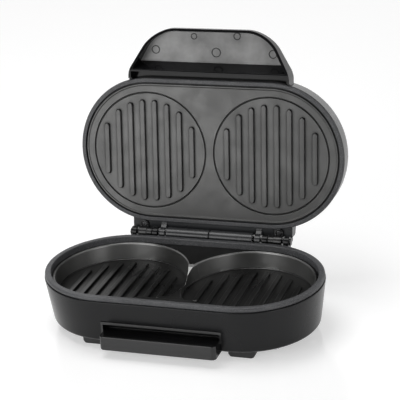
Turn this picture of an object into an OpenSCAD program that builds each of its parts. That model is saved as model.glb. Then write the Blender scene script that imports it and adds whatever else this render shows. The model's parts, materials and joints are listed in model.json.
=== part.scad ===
// Breakfast sandwich maker with two round wells, stored with its lid open.
// X runs along the body, +Y points to the hinge, Z is up. Each lid piece is drawn
// with the lid shut and is then turned back about the hinge axis.

/* [Cooking circles] */
// Distance between the centres of the two cooking circles
circle_spacing = 122; // [118:1:126]
// Radius of a well at the top of the lower plate
well_r = 62.5; // [60:0.5:65]
// How much a well narrows from its top to its floor
well_draft = 2.1; // [1:0.1:3]
// Depth of a well below the top of the lower plate
well_depth = 16; // [13:0.5:17.5]
// Radius of the round corner between a well's wall and floor
well_corner = 3; // [1:0.5:5]
// Thickness of the two cast plates
plate_t = 2.5; // [2:0.1:3]
// Flat land of the lower plate outside the wells
plate_land = 3; // [2.8:0.1:5]
// Number of ridges in a circle
ridge_count = 8; // [4:2:8]
// Spacing of the ridges
ridge_pitch = 12.4; // [9:0.1:13.5]
// Width of a ridge at its foot
ridge_w = 5.6; // [4:0.1:7]
// Height of a ridge
ridge_h = 2.5; // [1.5:0.1:4]
// How far a ridge's flanks lean in
ridge_lean = 1; // [0.3:0.1:1.5]
// Radius of the circle that the ridge tips reach
ridge_reach = 50.3; // [49:0.1:54]
// Radius of the fine round groove in the upper plate
groove_r = 56.8; // [55:0.1:59]
// Width of the fine round groove
groove_w = 1.2; // [0.8:0.1:2]
// Depth of the fine round groove
groove_depth = 0.8; // [0.4:0.1:1.5]

/* [Neck between the wells] */
// Distance from the middle back to the nose of the rear island
nose_y = 24.5; // [18:0.5:30]
// Depth of the front land below the top of the lower plate
land_drop = 10; // [7:0.5:11]
// Distance from the middle forward to the step of the front land
step_y = 34; // [28:0.5:40]
// Height of that step
step_h = 3.5; // [2:0.5:5]
// Distance from the middle forward to where the land ends
land_y = 52; // [46:0.5:54]

/* [Base] */
// Height of the feet
foot_h = 9; // [7:0.5:12]
// Length of a foot along the body
foot_w = 25; // [20:0.5:26]
// Depth of a foot across the body
foot_d = 20; // [16:0.5:20]
// Distance of the feet from the middle along the body
foot_x = 70; // [60:0.5:71]
// Distance of the feet from the middle across the body
foot_y = 48; // [40:0.5:49]
// Height of the base shell
shell_h = 42; // [41:0.5:48]
// Inward lean of the base shell from its top to its bottom
shell_lean = 6; // [4:0.5:7]
// Radius of the round bottom edge of the base shell
shell_edge = 3; // [1:0.5:4]
// Wall thickness of the mouldings
wall = 2.5; // [2.2:0.1:2.8]
// Height of the dark gap between the shell and the rim
rim_gap = 1; // [0.6:0.1:2]
// Height of the rim above that gap
rim_h = 3.5; // [3:0.1:5]
// Width of the rim
rim_w = 6.1; // [5.6:0.1:8]
// Depth of the lower plate below the top of the rim
rim_drop = 5.5; // [4:0.5:7]
// How far the shell stands out past the rim
shell_step = 0.6; // [0.3:0.1:1.5]

/* [Base handle] */
// Length of the bar along the body
bar_w = 110; // [90:1:116]
// Height of the bar
bar_h = 13.5; // [11:0.5:14]
// How far the bar reaches in front of the shell's top edge
bar_reach = 10.4; // [7:0.5:14]
// Radius of the bar's front corners
bar_corner = 4; // [2:0.5:6]
// Depth of the finger recess behind the shell's top edge
recess_depth = 14; // [12:0.5:15]

/* [Lid] */
// Angle at which the open lid rests on its stops
open_angle = 98; // [90:1:105]
// Gap between the two rims when the lid is shut
close_gap = 0.4; // [0.3:0.1:1]
// Inset of the lid's rim from the base's rim
lid_inset = 1.2; // [0.8:0.1:2]
// Width of the lid's rim
lid_rim_w = 3.9; // [3.4:0.1:4.5]
// Height of the lid's rim below the lid shell
lid_rim_h = 1.6; // [1.2:0.1:3]
// Dark gap between the upper plate and the lid's rim
lid_seam = 1; // [0.6:0.1:1.5]
// Height of the lid shell
lid_h = 27.5; // [26:0.5:34]
// Inward lean of the lid shell from its bottom edge to its top
lid_lean = 1.5; // [0.5:0.1:2]
// Radius of the lid shell's top edge
lid_edge = 9; // [6:0.5:10]

/* [Lid handle] */
// Width of the handle where it meets the lid
grip_w = 160; // [140:1:164]
// Reach of the handle in front of the lid shell
grip_reach = 49.7; // [42:0.5:56]
// Height of the handle
grip_h = 20; // [18:0.5:22]
// Radius of the handle's front corners
grip_corner = 36; // [28:1:40]
// Distance of the front corners' centres from the middle
grip_corner_x = 31; // [24:0.5:36]
// Slope of the handle's flanks
grip_slope = 50; // [44:1:56]
// Wall thickness of the handle
grip_wall = 4; // [3:0.5:5]
// Thickness of the handle's top
grip_top = 3.5; // [2.5:0.5:5]
// Thickness of the handle where it meets the lid
grip_root = 10.7; // [9:0.1:13]

/* [Hinge] */
// Distance of the hinge axis behind the shell's top edge
hinge_reach = 9.4; // [9:0.1:12]
// Distance of the hinge axis below the top of the rim
hinge_drop = 2; // [1:0.5:3]
// Radius of the hinge pins
pin_r = 2; // [1.5:0.1:2.5]
// Radius of the hinge knuckles
knuckle_r = 5.4; // [5:0.1:5.6]
// Radius of the hinge barrel
barrel_r = 5.8; // [5:0.1:6.2]
// Radius of the wire passage in the hinge barrel
passage_r = 3.6; // [3:0.1:4]
// Length of one half of the hinge barrel
barrel_len = 43.2; // [38:0.2:44]
// Width of the dark split between the barrel halves
barrel_split = 0.8; // [0.4:0.1:2]
// Width of a lid tab beside the barrel
tab_w = 5.5; // [4:0.5:6]
// Width of a base ear
ear_w = 5.5; // [4:0.5:6]
// Width of a lid hinge arm
arm_w = 8; // [7:0.5:9]
// Side clearance between hinge pieces
side_gap = 2; // [1:0.1:2.5]

/* [Heating] */
// Radius of the tubular heaters
heater_r = 3.2; // [2.8:0.1:3.4]
// Radius of a heater's bend under a cooking circle
heater_loop = 38; // [32:0.5:40]
// Distance between the two ends of a heater
heater_mouth = 36; // [28:1:44]
// Gap between the plate screws and the edge of the reflector trays
tray_gap = 6; // [5:0.5:9]
// Sheet thickness of the reflector trays
tray_t = 0.8; // [0.6:0.1:1.2]

/* [Hidden] */
$fn = 96;

// Clearances and small shared sizes
fit = 0.3;
pin_fit = 0.05;
plate_fit = 0.4;
cut = 1;
screw_r = 1.5;
screw_head_r = 3;
screw_head_h = 1.8;
boss_r = 4;

// Heights of the base, from the floor up
shell_top = foot_h + shell_h;
rim_z = shell_top + rim_gap;
rim_top = rim_z + rim_h;
plate_top = rim_top - rim_drop;
floor_z = plate_top - well_depth;
floor_back = floor_z - plate_t;
cover_top = foot_h + wall;

// Radii of the racetrack outlines, from the well outwards
half = circle_spacing / 2;
well_floor_r = well_r - well_draft;
plate_r = well_r + plate_land;
rim_in = plate_r + plate_fit;
rim_r = rim_in + rim_w;
neck_r = rim_r - 1.2;
skirt_r = rim_in + 2.1;
shell_r = rim_r + shell_step;
shell_foot_r = shell_r - shell_lean;
cover_r = shell_foot_r - 4.6;
flange_r = cover_r - 3.5;

// Heights and radii of the shut lid
lid_z = rim_top + close_gap;
lid_face = lid_z + 0.6;
lid_back = lid_face + plate_t;
lid_shell_z = lid_z + lid_rim_h;
lid_top = lid_shell_z + lid_h;
lid_rim_r = rim_r - lid_inset;
lid_rim_in = lid_rim_r - lid_rim_w;
lid_skirt_r = lid_rim_in + 1.1;
upper_plate_r = lid_rim_in - lid_seam;
lid_r = lid_rim_r + 0.5;
lid_top_r = lid_r - lid_lean;

// Hinge axis and the places of the hinge pieces along it
hinge_y = shell_r + hinge_reach;
hinge_z = rim_top - hinge_drop;
barrel_x = barrel_split / 2;
tab_x = barrel_x + barrel_len + side_gap;
inner_ear_x = tab_x + tab_w + side_gap;
arm_x = inner_ear_x + ear_w + 3 * side_gap;
outer_ear_x = arm_x + arm_w + side_gap;
pin_end_x = outer_ear_x + ear_w;
pad_y = hinge_y - 3;
pad_z = hinge_z + knuckle_r + fit;
pad_h = 11;
arm_boss_r = 4;
arm_screw_y = pad_y - arm_boss_r - 0.4;

// Places of the screws
plate_screw_x = 14;
plate_screw_y = well_r - 6.5;
tray_r = plate_screw_y - tray_gap;
bracket_top = floor_z + 2;
tray_screw_y = 20;
cover_screw_r = (cover_r + flange_r) / 2;
rim_screw_x = 36;
rim_screw_y = lid_rim_in - 8;
bracket_t = 2.6;
bracket_back = plate_screw_y - 5;
rim_tab_top = lid_back + 4.5;
foot_seat = 4;
shelf_top = shell_top - 7;
barrel_seat = shell_top - 10;
gland_z = foot_h + 15;
gland_r = 5.5;
gland_bore = 3.6;
lens_r = 4;
lamp_x = 9;
lamp_y = -30;
vent_pitch = 7;
vent_w = 3;
vent_l = 28;
block_w = 34;
block_d = 12;
block_h = 6;
block_pitch = 10.5;
ear_root = shell_r - 14;
ear_foot = shell_top - 17;

// Heater and reflector heights
lower_heater_z = floor_back - heater_r - 0.2;
lower_tray_z = lower_heater_z - heater_r - 2.6;
upper_heater_z = lid_back + heater_r + 0.2;
upper_tray_z = upper_heater_z + heater_r + 2.6;

// Base handle and lid handle
bar_z = foot_h - 0.5;
bar_top = bar_z + bar_h;
bar_front = shell_r + bar_reach;
recess_top = floor_back - wall - 1;
liner_w = bar_w + 4;
grip_z = lid_z - 2.4;
grip_front = lid_r + grip_reach;
grip_ceiling = grip_z + grip_h - grip_top;
grip_screw_x = 45;
grip_screw_z = rim_tab_top + screw_head_r + 1.2;

// Points on a quarter of an edge with radius r about a centre, from angle a to angle b
function bend(centre, r, a, b, steps = 6) =
  [for (i = [0:steps]) centre + r * [cos(a + (b - a) * i / steps), sin(a + (b - a) * i / steps)]];

// Radius of the leaning walls at a height
function shell_r_at(z) = shell_r - shell_lean * (shell_top - z) / shell_h;
function lid_r_at(z) = lid_r - lid_lean * (z - lid_shell_z) / (lid_h - lid_edge);

// Outer section of the base shell and of the lid, as radius and height
shell_outline = concat([[0, foot_h]],
  bend([shell_r_at(foot_h + shell_edge) - shell_edge, foot_h + shell_edge], shell_edge, -90, 0),
  [[shell_r, shell_top - 0.5], [shell_r - 0.5, shell_top], [0, shell_top]]);
lid_outline = concat([[0, lid_top]],
  bend([lid_top_r - lid_edge, lid_top - lid_edge], lid_edge, 90, 0),
  [[lid_r, lid_shell_z], [0, lid_shell_z]]);

// Depth of the open part, which centres its outline on the origin
function open_y(y, z) = hinge_y + (y - hinge_y) * cos(open_angle) + (z - hinge_z) * sin(open_angle);
rear_y = max(concat([for (p = lid_outline) open_y(-p[0], p[1])],
  [open_y(-grip_front, grip_z + grip_h), open_y(-grip_front + 3, grip_z + grip_h)]));
middle_y = (rear_y - bar_front) / 2;

// Flat racetrack outline
module oval(r) {
  for (side = [-1, 1]) translate([side * half, 0]) circle(r);
  square([circle_spacing, 2 * r], center = true);
}

module oval_plate(r, z, h) {
  translate([0, 0, z]) linear_extrude(h) oval(r);
}

// Section of radius and height, swept round the racetrack
module racetrack() {
  for (turn = [0, 180]) rotate([0, 0, turn]) {
    translate([half, 0, 0]) rotate([0, 0, -90]) rotate_extrude(angle = 180) children();
    rotate([90, 0, 90]) linear_extrude(circle_spacing, center = true) children();
  }
}

// Outline of depth and height, drawn along X from x to x + w
module across(x, w) {
  translate([x, 0, 0]) rotate([90, 0, 90]) linear_extrude(w) children();
}

module place_base() {
  translate([0, -middle_y, 0]) children();
}

module turned_open() {
  translate([0, hinge_y, hinge_z]) rotate([-open_angle, 0, 0]) translate([0, -hinge_y, -hinge_z]) children();
}

module place_lid() {
  place_base() turned_open() children();
}

// Bore along the hinge axis
module hinge_bore(x, w, r) {
  across(x - cut, w + 2 * cut) translate([hinge_y, hinge_z]) circle(r);
}

// Screw with its head's seat at the origin and its shank along +Z
module screw(length) {
  translate([0, 0, -screw_head_h]) cylinder(h = screw_head_h, r = screw_head_r);
  cylinder(h = length, r = screw_r);
}

module at_plate_screws() {
  for (x = [-1, 1], y = [-1, 1]) translate([x * plate_screw_x, y * plate_screw_y, 0]) children();
}

module at_cover_screws() {
  for (side = [0, 1], turn = [-50, 0, 50]) mirror([side, 0, 0]) translate([half, 0, 0]) rotate([0, 0, turn])
    translate([cover_screw_r, 0, 0]) children();
}

module at_rim_screws() {
  for (x = [-1, 1], y = [-1, 1]) translate([x * rim_screw_x, y * rim_screw_y, 0]) children();
}

module at_barrel_screws() {
  for (side = [-1, 1]) translate([side * (barrel_x + barrel_len / 2), hinge_y, barrel_seat]) children();
}

// Screw seat of one hinge arm, on the underside of the lid's pad
module at_arm_screw() {
  translate([arm_x + arm_w / 2, arm_screw_y, pad_z]) children();
}

module at_lamp_height() {
  translate([0, lamp_y, lid_top]) children();
}

module at_lamps() {
  for (side = [-1, 1]) translate([side * lamp_x, 0, 0]) at_lamp_height() children();
}

module at_feet() {
  for (x = [-1, 1], y = [-1, 1]) translate([x * foot_x, y * foot_y, 0]) children();
}

// Ridges of one circle, rising from z = 0, with sloping flanks and round ends
module ridges() {
  crest = ridge_w / 2 - ridge_lean;
  for (i = [0:ridge_count - 1]) {
    x = (i - (ridge_count - 1) / 2) * ridge_pitch;
    reach = sqrt(ridge_reach * ridge_reach - x * x) - ridge_w / 2;
    translate([x, 0, 0]) {
      for (end = [-1, 1]) translate([0, end * reach, 0]) cylinder(h = ridge_h, r1 = ridge_w / 2, r2 = crest);
      rotate([90, 0, 0]) linear_extrude(2 * reach, center = true)
        polygon([[-ridge_w / 2, 0], [ridge_w / 2, 0], [crest, ridge_h], [-crest, ridge_h]]);
    }
  }
}

// Tubular heater loop with its two ends at the hinge side
module heater(z) {
  for (side = [-1, 1]) {
    translate([side * half, 0, z]) rotate([0, 0, side > 0 ? -90 : 90])
      rotate_extrude(angle = 180) translate([heater_loop, 0]) circle(heater_r);
    translate([side * heater_mouth / 2, heater_loop, z]) rotate([0, side * 90, 0])
      cylinder(h = half - heater_mouth / 2, r = heater_r);
    translate([side * (heater_mouth / 2 - 6), heater_loop, z]) rotate([0, side * 90, 0])
      cylinder(h = 6, r = heater_r / 2);
  }
  translate([-half, -heater_loop, z]) rotate([0, 90, 0]) cylinder(h = circle_spacing, r = heater_r);
}

// Reflector tray with its open side up, its floor's underside at z = 0 and walls of height h
module tray(h) {
  difference() {
    oval_plate(tray_r, 0, h);
    oval_plate(tray_r - tray_t, tray_t, h);
    for (y = [-1, 1]) translate([0, y * tray_screw_y, -cut]) cylinder(h = tray_t + 2 * cut, r = screw_r + fit);
  }
}

module thermal_fuse() {
  rotate([0, 90, 0]) {
    cylinder(h = 14, r = 2.2, center = true);
    cylinder(h = 26, r = 0.6, center = true);
  }
}

// Side view of a base ear: the knuckle and its web down to the shell
module ear_profile() {
  translate([hinge_y, hinge_z]) circle(knuckle_r);
  polygon([[ear_root, ear_foot], [hinge_y - 4, ear_foot + 4], [hinge_y + knuckle_r - 0.5, hinge_z - 1.5],
    [hinge_y, hinge_z], [hinge_y - knuckle_r + 0.2, hinge_z - 1], [shell_r + 1, shell_top - 1.5],
    [ear_root, shell_top - 1.5]]);
}

module base_ears() {
  for (side = [0, 1]) mirror([side, 0, 0]) {
    across(inner_ear_x, ear_w) ear_profile();
    across(outer_ear_x, ear_w) ear_profile();
    // Stop that carries the open lid, set against the pad in its open place
    turned_open() across(outer_ear_x, ear_w)
      polygon([[pad_y + fit, pad_z - 1.5], [pad_y + 5, pad_z - 1.5], [pad_y + 5, pad_z + 6], [pad_y + fit, pad_z + 6]]);
  }
}

// Shelf behind the shell that carries the hinge barrel
module barrel_shelf() {
  across(-inner_ear_x - 1, 2 * inner_ear_x + 2)
    polygon([[ear_root, shelf_top - 7], [hinge_y - 2, shelf_top - 5], [hinge_y + 4, shelf_top - 2],
      [hinge_y + 4, shelf_top], [ear_root, shelf_top]]);
}

shell_cavity = [[0, foot_h - cut], [cover_r + fit, foot_h - cut], [cover_r + fit, cover_top], [flange_r, cover_top],
  [flange_r, cover_top + 2], [shell_r_at(cover_top + 2) - wall, cover_top + 2],
  [shell_r_at(shell_top - wall) - wall, shell_top - wall], [skirt_r + fit, shell_top - wall],
  [skirt_r + fit, shell_top + cut], [0, shell_top + cut]];

module base_shell() color("#2b2b2e") place_base() difference() {
  union() {
    difference() {
      union() {
        racetrack() polygon(shell_outline);
        base_ears();
        barrel_shelf();
      }
      racetrack() polygon(shell_cavity);
    }
    plate_brackets();
    cover_bosses();
  }
  handle_window();
  at_plate_screws() translate([0, 0, bracket_top - 5]) cylinder(h = 10, r = screw_r + fit);
  at_cover_screws() translate([0, 0, cover_top - cut]) cylinder(h = 8, r = screw_r + pin_fit);
  at_barrel_screws() {
    cylinder(h = 10, r = screw_r + fit);
    translate([0, 0, -10]) cylinder(h = 10, r = screw_head_r + fit);
  }
  gland_hole();
  for (side = [0, 1]) mirror([side, 0, 0]) hinge_bore(inner_ear_x, pin_end_x - inner_ear_x, pin_r + pin_fit);
}

// Brackets inside the shell that the cast plate is screwed to
module plate_brackets() {
  reach = shell_r_at(bracket_top) - 1 - bracket_back;
  for (x = [-1, 1], turn = [0, 180]) rotate([0, 0, turn])
    translate([x * plate_screw_x - 5.5, bracket_back, bracket_top - bracket_t]) cube([11, reach, bracket_t]);
}

// Bosses inside the shell for the screws of the bottom cover
module cover_bosses() {
  intersection() {
    at_cover_screws() translate([0, 0, cover_top + 1]) cylinder(h = 8, r = 3.2);
    racetrack() polygon(shell_outline);
  }
}

// Window in the shell for the base handle and its finger recess
module handle_window() {
  translate([-bar_w / 2 - fit, -bar_front - cut, bar_z - cut])
    cube([bar_w + 2 * fit, bar_front + cut - cover_r - fit, bar_h + cut]);
  translate([-liner_w / 2 - fit, -bar_front, bar_top - wall - fit])
    cube([liner_w + 2 * fit, bar_front - shell_r + recess_depth + wall + fit, recess_top - bar_top + 2 * wall + 2 * fit]);
}

module gland_hole() {
  translate([0, shell_r_at(gland_z), gland_z]) rotate([90, 0, 0]) cylinder(h = 20, r = gland_r + fit, center = true);
}

// Round-edged rim with the skirt that drops into the shell
module base_rim() color("#4a4a4c") place_base() racetrack()
  polygon([[rim_in, plate_top - plate_t - 0.5], [skirt_r, plate_top - plate_t - 0.5], [skirt_r, shell_top],
    [neck_r, shell_top], [neck_r, rim_z], [rim_r, rim_z], [rim_r - 0.2, rim_z + rim_h / 2],
    [rim_r - 0.8, rim_top - 0.7], [rim_r - 2, rim_top], [rim_in + 1.4, rim_top], [rim_in + 0.4, rim_top - 0.5],
    [rim_in, rim_top - 1.4]]);

// Bar with round edges over the ribbed underside, and the liner of the finger recess
module base_handle() color("#151516") place_base() {
  back = cover_r + 2 * fit;
  difference() {
    union() {
      intersection() {
        across(-bar_w / 2, bar_w) polygon(concat([[-back, bar_z], [-back, bar_top]],
          bend([-bar_front + 2, bar_top - 2], 2, 90, 180), bend([-bar_front + 2, bar_z + 2], 2, 180, 270)));
        translate([0, 0, bar_z - cut]) linear_extrude(bar_h + 2 * cut)
          polygon(concat([[bar_w / 2, -back], [-bar_w / 2, -back]],
            bend([-bar_w / 2 + bar_corner, -bar_front + bar_corner], bar_corner, 180, 270),
            bend([bar_w / 2 - bar_corner, -bar_front + bar_corner], bar_corner, 270, 360)));
      }
      intersection() {
        translate([-liner_w / 2, -shell_r, bar_top - wall])
          cube([liner_w, recess_depth + wall, recess_top - bar_top + 2 * wall]);
        racetrack() polygon(shell_outline);
      }
    }
    translate([-bar_w / 2, -shell_r - cut, bar_top]) cube([bar_w, recess_depth + cut, recess_top - bar_top]);
    bar_hollow(back);
  }
}

// Spaces between the ribs under the bar
module bar_hollow(back) {
  count = 5;
  pitch = (bar_w - wall) / count;
  for (i = [0:count - 1]) translate([-bar_w / 2 + wall + i * pitch, -bar_front + wall, bar_z - cut])
    cube([pitch - wall, bar_front - back - 2 * wall, bar_h - wall + cut]);
}

// Bottom cover with vent slots and a boss over each foot
module bottom_cover() color("#202022") place_base() difference() {
  union() {
    oval_plate(cover_r, foot_h, wall);
    at_feet() translate([0, 0, foot_h]) cylinder(h = wall + 6, r = boss_r);
  }
  for (side = [-1, 1], i = [-3:3]) translate([side * half / 2 + i * vent_pitch - vent_w / 2, -vent_l / 2, foot_h - cut])
    cube([vent_w, vent_l, wall + 2 * cut]);
  at_cover_screws() translate([0, 0, foot_h - cut]) cylinder(h = wall + 2 * cut, r = screw_r + fit);
  at_feet() translate([0, 0, foot_h - cut]) cylinder(h = wall + 6 + 2 * cut, r = screw_r + pin_fit);
}

module cover_screws() color("silver") place_base()
  at_cover_screws() translate([0, 0, foot_h]) screw(wall + 6);

// Rectangle with round corners
module round_rect(w, d, r) {
  square([w, d - 2 * r], center = true);
  square([w - 2 * r, d], center = true);
  for (x = [-1, 1], y = [-1, 1]) translate([x * (w / 2 - r), y * (d / 2 - r)]) circle(r);
}

// Foot with a lower edge stepped in and a deep screw hole
module foot(x, y) color("#1a1a1b") place_base() translate([x * foot_x, y * foot_y, 0]) difference() {
  union() {
    linear_extrude(foot_h) round_rect(foot_w - 2, foot_d - 2, 4);
    translate([0, 0, 1.5]) linear_extrude(foot_h - 1.5) round_rect(foot_w, foot_d, 5);
  }
  translate([0, 0, -cut]) cylinder(h = foot_seat + cut, r = screw_head_r + cut);
  cylinder(h = foot_h + cut, r = screw_r + fit);
}

module foot_front_left() foot(-1, -1);
module foot_front_right() foot(1, -1);
module foot_rear_left() foot(-1, 1);
module foot_rear_right() foot(1, 1);

module foot_screws() color("silver") place_base()
  at_feet() translate([0, 0, foot_seat]) screw(foot_h - foot_seat + wall + 5);

// Section of one well, grown by the plate's thickness for its outside
function well_section(grow) = concat([[0, floor_z - grow]],
  bend([well_floor_r - well_corner, floor_z + well_corner], well_corner + grow, -90, 0),
  [[well_r + grow, plate_top - grow / 2], [well_r + grow, plate_top + (grow > 0 ? -plate_t / 4 : cut)],
  [0, plate_top + (grow > 0 ? -plate_t / 4 : cut)]]);

// Cast plate with two wells that meet in the neck, the rear island with its sloping nose and
// the stepped land in front
module lower_plate() color("#3a3a3c") place_base() {
  island_w = half - sqrt(well_r * well_r - land_y * land_y);
  difference() {
    union() {
      oval_plate(plate_r, plate_top - plate_t, plate_t);
      for (side = [-1, 1]) translate([side * half, 0, 0]) rotate_extrude()
        polygon(well_section(plate_t));
      translate([-island_w, -land_y - plate_t, bracket_top])
        cube([2 * island_w, land_y + nose_y + 2 * plate_t, plate_top - plate_t / 2 - bracket_top]);
      at_plate_screws() translate([0, 0, bracket_top]) cylinder(h = plate_top - plate_t / 2 - bracket_top, r = boss_r);
      for (y = [-1, 1]) translate([0, y * tray_screw_y, lower_tray_z + tray_t])
        cylinder(h = bracket_top + 1 - lower_tray_z - tray_t, r = 3.5);
    }
    for (side = [-1, 1]) translate([side * half, 0, 0]) rotate_extrude()
      polygon(well_section(0));
    across(-island_w - plate_t, 2 * island_w + 2 * plate_t)
      polygon([[-land_y, plate_top + cut], [-land_y, plate_top - land_drop + step_h],
        [-step_y, plate_top - land_drop + step_h], [-step_y + 1, plate_top - land_drop], [0, plate_top - land_drop],
        [nose_y, plate_top], [nose_y, plate_top + cut]]);
    at_plate_screws() translate([0, 0, bracket_top - cut]) cylinder(h = 10, r = screw_r + pin_fit);
    for (y = [-1, 1]) translate([0, y * tray_screw_y, lower_tray_z]) cylinder(h = 9, r = screw_r + pin_fit);
  }
  for (side = [-1, 1]) translate([side * half, 0, floor_z - 0.1]) ridges();
}

module lower_plate_screws() color("silver") place_base()
  at_plate_screws() translate([0, 0, bracket_top - bracket_t]) screw(bracket_t + 8);

module lower_heater() color("#6b6b6b") place_base() heater(lower_heater_z);

module lower_reflector() color("#b8b8b4") place_base()
  translate([0, 0, lower_tray_z]) tray(floor_back - 1.5 - lower_tray_z);

module lower_reflector_screws() color("silver") place_base()
  for (y = [-1, 1]) translate([0, y * tray_screw_y, lower_tray_z]) screw(8);

// Disc thermostat under the rear island, with its two blade terminals
module thermostat() color("#d9d4c8") place_base() translate([0, plate_screw_y - 10, plate_top - plate_t]) {
  translate([0, 0, -6]) cylinder(h = 6, r = 7);
  for (side = [-1, 1]) translate([side * 4.5 - 0.4, -2.5, -13]) cube([0.8, 5, 8]);
}

module lower_thermal_fuse() color("#d8d8dc") place_base()
  translate([0, 10 - plate_screw_y, bracket_top - 2.4]) thermal_fuse();

// Ceramic terminal block with three screw chimneys
module terminal_block() color("#e8e4da") place_base() translate([0, plate_screw_y - 14, cover_top]) {
  translate([-block_w / 2, -block_d / 2, 0]) cube([block_w, block_d, block_h]);
  for (i = [-1:1]) translate([i * block_pitch, 0, block_h]) difference() {
    cylinder(h = 3.4, r = 4);
    translate([0, 0, 1]) cylinder(h = 4, r = 2.5);
  }
}

// Bush in the rear wall through which the mains lead enters
module cord_gland() color("#1c1c1d") place_base() translate([0, shell_r_at(gland_z), gland_z]) rotate([-90, 0, 0]) difference() {
  union() {
    translate([0, 0, -wall - 4]) cylinder(h = wall + 5, r = gland_r);
    translate([0, 0, 1]) cylinder(h = 2.5, r = gland_r + 2);
  }
  translate([0, 0, -wall - 5]) cylinder(h = wall + 10, r = gland_bore);
}

// One half of the hinge barrel on its foot
module hinge_barrel(side) color("#39393b") place_base() mirror([side, 0, 0]) difference() {
  across(barrel_x, barrel_len) difference() {
    union() {
      translate([hinge_y, hinge_z]) circle(barrel_r);
      translate([hinge_y - 3, shelf_top]) square([6, hinge_z - shelf_top - passage_r]);
      translate([hinge_y - 6, shelf_top]) square([10, 1.5]);
    }
    translate([hinge_y, hinge_z]) circle(passage_r);
  }
  translate([barrel_x + barrel_len / 2, hinge_y, shelf_top - cut]) cylinder(h = 4.5, r = screw_r + pin_fit);
}

module hinge_barrel_left() hinge_barrel(1);
module hinge_barrel_right() hinge_barrel(0);

module barrel_screws() color("silver") place_base() at_barrel_screws() screw(shelf_top - barrel_seat + 3);

// Hinge pin with its head outside the outer ear
module hinge_pin(side) color("#c9c9cc") place_base() mirror([side, 0, 0]) {
  across(tab_x - 1, pin_end_x - tab_x + 1) translate([hinge_y, hinge_z]) circle(pin_r);
  across(pin_end_x, 1.5) translate([hinge_y, hinge_z]) circle(pin_r + 1.4);
}

module hinge_pin_left() hinge_pin(1);
module hinge_pin_right() hinge_pin(0);

lid_cavity = concat([[0, lid_shell_z - cut], [lid_r - wall, lid_shell_z - cut], [lid_r - wall, lid_shell_z]],
  bend([lid_top_r - lid_edge, lid_top - lid_edge], lid_edge - wall, 0, 90), [[0, lid_top - wall]]);

// Tabs beside the barrel and pads over the hinge arms, moulded with the lid shell
module lid_hinge_blocks() {
  across(tab_x, tab_w) {
    translate([hinge_y, hinge_z]) circle(knuckle_r - 0.2);
    polygon([[lid_r - 1, lid_shell_z], [lid_r - 1, lid_shell_z + 7], [lid_r + 1, lid_shell_z + 7],
      [hinge_y + 2, hinge_z + knuckle_r - 0.9], [hinge_y, hinge_z], [hinge_y - knuckle_r + 0.4, hinge_z - 0.5],
      [lid_r + 2, lid_shell_z]]);
  }
  across(arm_x - 3, pin_end_x + 1 - arm_x + 3)
    polygon([[lid_r - 12, pad_z], [pad_y, pad_z], [pad_y, pad_z + pad_h], [lid_r - 12, pad_z + pad_h + 7]]);
}

module lid_shell() color("#47474a") place_lid() difference() {
  union() {
    difference() {
      union() {
        racetrack() polygon(lid_outline);
        for (side = [0, 1]) mirror([side, 0, 0]) lid_hinge_blocks();
      }
      racetrack() polygon(lid_cavity);
    }
    // Posts that the lid's rim is screwed to
    at_rim_screws() translate([0, 0, rim_tab_top]) cylinder(h = lid_top - wall / 2 - rim_tab_top, r = boss_r);
  }
  for (side = [0, 1]) mirror([side, 0, 0]) {
    hinge_bore(tab_x, tab_w, pin_r + pin_fit);
    at_arm_screw() cylinder(h = pad_h - 2, r = screw_r + pin_fit);
    translate([grip_screw_x, -lid_r_at(grip_screw_z), grip_screw_z]) rotate([90, 0, 0])
      cylinder(h = 4 * wall, r = screw_r + fit, center = true);
  }
  at_rim_screws() translate([0, 0, rim_tab_top - cut]) cylinder(h = 10, r = screw_r + pin_fit);
  at_lamps() translate([0, 0, -wall - cut]) cylinder(h = wall + 2 * cut, r = lens_r + 0.1);
}

// Rim round the upper plate, with the skirt inside the shell and four tabs for the screws
module lid_rim() color("#4a4a4c") place_lid() difference() {
  union() {
    racetrack() polygon([[lid_rim_in, lid_z + 0.3], [lid_rim_in + 0.6, lid_z], [lid_rim_r - 0.8, lid_z],
      [lid_rim_r, lid_z + 0.8], [lid_rim_r, lid_shell_z], [lid_skirt_r, lid_shell_z],
      [lid_skirt_r, rim_tab_top + 0.5], [lid_rim_in, rim_tab_top + 0.5]]);
    for (side = [0, 1], turn = [0, 180]) mirror([side, 0, 0]) rotate([0, 0, turn])
      translate([plate_screw_x - 5.5, bracket_back, rim_tab_top - 2])
        cube([rim_screw_x - plate_screw_x + 11, lid_rim_in + 0.5 - bracket_back, 2]);
  }
  at_plate_screws() translate([0, 0, lid_back]) cylinder(h = 10, r = screw_r + fit);
  at_rim_screws() translate([0, 0, lid_back]) cylinder(h = 10, r = screw_r + fit);
}

module lid_rim_screws() color("silver") place_lid()
  at_rim_screws() translate([0, 0, rim_tab_top - 2]) screw(10);

// Cast plate with a raised edge, two fine round grooves and the ridges of both circles
module upper_plate() color("#5a5a5c") place_lid() {
  difference() {
    union() {
      oval_plate(upper_plate_r, lid_face, plate_t);
      oval_plate(lid_rim_in - fit, lid_face + 1.2, plate_t - 1.2);
      racetrack() translate([upper_plate_r - 1.6, lid_face - 0.5]) square([1.6, 1]);
      at_plate_screws() translate([0, 0, lid_face + 1]) cylinder(h = rim_tab_top - 3 - lid_face, r = boss_r);
      for (y = [-1, 1]) translate([0, y * tray_screw_y, lid_face + 1])
        cylinder(h = upper_tray_z - lid_face - 1, r = 3.5);
    }
    for (side = [-1, 1]) translate([side * half, 0, lid_face]) rotate_extrude()
      translate([groove_r - groove_w / 2, -cut]) square([groove_w, cut + groove_depth]);
    at_plate_screws() translate([0, 0, lid_back - 0.6]) cylinder(h = 5, r = screw_r + pin_fit);
    for (y = [-1, 1]) translate([0, y * tray_screw_y, upper_tray_z - 8]) cylinder(h = 9, r = screw_r + pin_fit);
  }
  for (side = [-1, 1]) translate([side * half, 0, lid_face + 0.1]) mirror([0, 0, 1]) ridges();
}

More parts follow.
